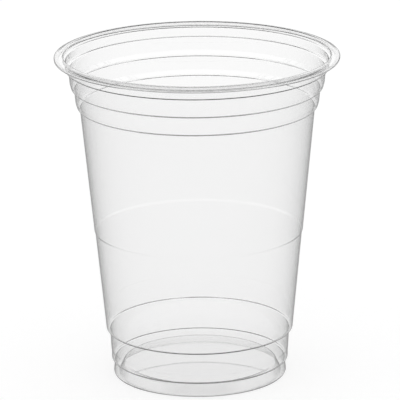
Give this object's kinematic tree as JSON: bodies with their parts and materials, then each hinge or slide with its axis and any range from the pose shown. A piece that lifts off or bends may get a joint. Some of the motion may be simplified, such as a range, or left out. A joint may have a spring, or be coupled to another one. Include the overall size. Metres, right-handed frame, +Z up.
{
  "type": "disposable plastic cup",
  "caption": "Clear thin-walled tapered drinking cup with a curled rim, stepped bands below the rim, a stepped foot ring and a recessed base.",
  "frame": {"origin": "centre of the base ring, on the surface the cup stands on", "axes": "+Z up the cup's axis, from the base to the open rim; the cup is round about it"},
  "size_m": [0.092, 0.092, 0.1072],
  "materials": {
    "clear_plastic": "clear glossy PET sheet"
  },
  "bodies": {
    "root": {"cup": "clear_plastic"}
  },
  "joints": []
}
